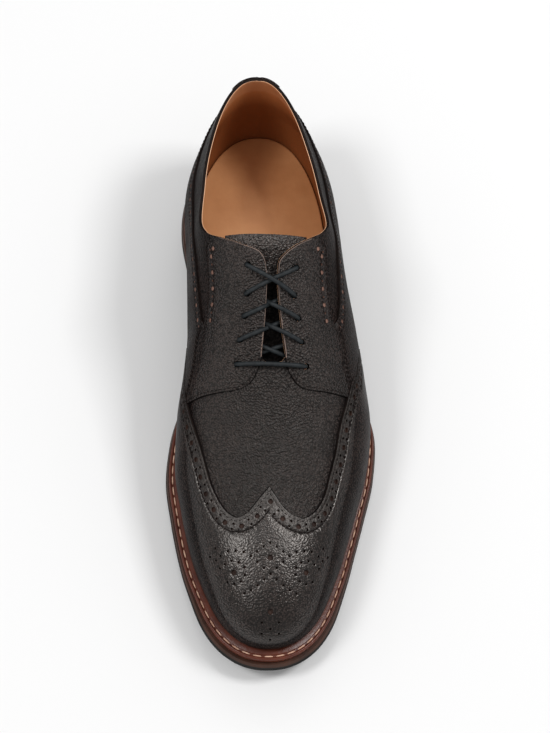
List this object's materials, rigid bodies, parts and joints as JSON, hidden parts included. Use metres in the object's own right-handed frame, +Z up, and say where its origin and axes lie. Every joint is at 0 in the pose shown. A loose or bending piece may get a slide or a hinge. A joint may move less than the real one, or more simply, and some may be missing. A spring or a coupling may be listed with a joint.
{
  "type": "brogue shoe",
  "caption": "Left wing-tip brogue shoe with open lacing, hollow leather upper, welt, rubber outsole and stacked heel.",
  "frame": {"origin": "centre of the shoe's outline on the floor, under the middle of its length and width", "axes": "toe toward -Y, heel toward +Y, outer side of the foot toward +X, +Z up"},
  "size_m": [0.1106, 0.302, 0.1113],
  "materials": {
    "upper": "pebbled, near-black brown",
    "wing_cap": "pebbled, near-black brown",
    "facing_medial": "pebbled, near-black brown",
    "facing_lateral": "pebbled, near-black brown",
    "counter_medial": "pebbled, near-black brown",
    "counter_lateral": "pebbled, near-black brown",
    "back_strap": "pebbled, near-black brown",
    "tongue": "pebbled, near-black brown",
    "insole": "smooth tan",
    "welt": "reddish brown, stitched",
    "outsole": "dull near-black",
    "heel_block": "dark brown stack",
    "heel_cap": "dull black",
    "lace_bar": "waxed dark slate cord",
    "lace_cross_1": "waxed dark slate cord",
    "lace_cross_2": "waxed dark slate cord",
    "lace_cross_3": "waxed dark slate cord",
    "lace_cross_4": "waxed dark slate cord"
  },
  "bodies": {
    "root": {"upper": "upper", "wing_cap": "wing_cap", "facing_medial": "facing_medial", "facing_lateral": "facing_lateral", "counter_medial": "counter_medial", "counter_lateral": "counter_lateral", "back_strap": "back_strap", "tongue": "tongue", "insole": "insole", "welt": "welt", "outsole": "outsole", "heel_block": "heel_block", "heel_cap": "heel_cap", "lace_bar": "lace_bar", "lace_cross_1": "lace_cross_1", "lace_cross_2": "lace_cross_2", "lace_cross_3": "lace_cross_3", "lace_cross_4": "lace_cross_4"}
  },
  "joints": []
}
